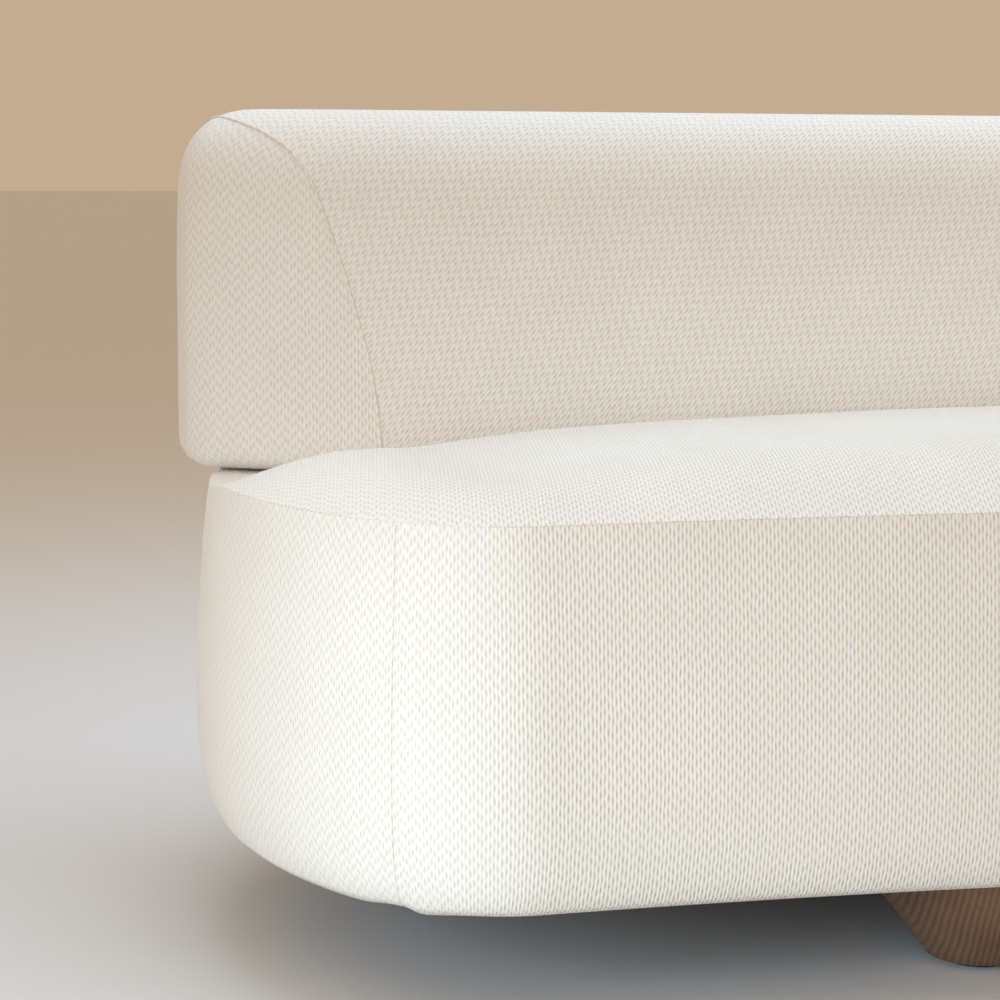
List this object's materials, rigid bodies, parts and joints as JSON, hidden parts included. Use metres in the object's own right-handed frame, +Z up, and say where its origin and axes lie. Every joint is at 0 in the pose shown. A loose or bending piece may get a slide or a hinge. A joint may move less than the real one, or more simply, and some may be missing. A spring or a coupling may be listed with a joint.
{
  "type": "sofa",
  "caption": "Gently curved armless sofa: a thick rounded seat upholstered in a basket weave on turned wooden legs, with a separate bolster-like back.",
  "frame": {"origin": "on the floor, under the middle of the footprint", "axes": "+Z up, +X along the sofa towards the sitter's left hand, +Y from the front to the back, so a sitter faces -Y"},
  "size_m": [2.5248, 0.9808, 0.764],
  "materials": {
    "cover_weave": "matte",
    "foam": "matte",
    "dust_cloth": "matte",
    "webbing": "matte",
    "walnut": "satin",
    "beech": "matte",
    "plywood": "matte",
    "zinc": "satin",
    "nylon": "matte"
  },
  "bodies": {
    "root": {"seat_cover": "cover_weave", "back_cover": "cover_weave", "seat_top_foam": "foam", "seat_base_foam": "foam", "seat_front_foam": "foam", "seat_right_foam": "foam", "seat_rear_foam": "foam", "seat_left_foam": "foam", "back_foam": "foam", "dust_cover": "dust_cloth", "webbing_left_1": "webbing", "webbing_left_2": "webbing", "webbing_left_3": "webbing", "webbing_left_4": "webbing", "webbing_left_5": "webbing", "webbing_right_1": "webbing", "webbing_right_2": "webbing", "webbing_right_3": "webbing", "webbing_right_4": "webbing", "webbing_right_5": "webbing", "seat_front_rail": "beech", "seat_rear_rail": "beech", "seat_middle_rail": "beech", "seat_left_leg_rail": "beech", "seat_right_leg_rail": "beech", "seat_left_end_form": "plywood", "seat_right_end_form": "plywood", "back_front_panel": "plywood", "back_rear_panel": "plywood", "back_top_board": "plywood", "back_bottom_board": "plywood", "back_rib_1": "plywood", "back_post_1": "beech", "post_bolt_lower_1": "zinc", "post_bolt_upper_1": "zinc", "back_rib_2": "plywood", "back_post_2": "beech", "post_bolt_lower_2": "zinc", "post_bolt_upper_2": "zinc", "back_rib_3": "plywood", "back_post_3": "beech", "post_bolt_lower_3": "zinc", "post_bolt_upper_3": "zinc", "back_rib_4": "plywood", "back_post_4": "beech", "post_bolt_lower_4": "zinc", "post_bolt_upper_4": "zinc", "leg_front_left": "walnut", "leg_bolt_front_left": "zinc", "leg_glide_front_left": "nylon", "leg_front_right": "walnut", "leg_bolt_front_right": "zinc", "leg_glide_front_right": "nylon", "leg_rear_left": "walnut", "leg_bolt_rear_left": "zinc", "leg_glide_rear_left": "nylon", "leg_rear_right": "walnut", "leg_bolt_rear_right": "zinc", "leg_glide_rear_right": "nylon"}
  },
  "joints": []
}
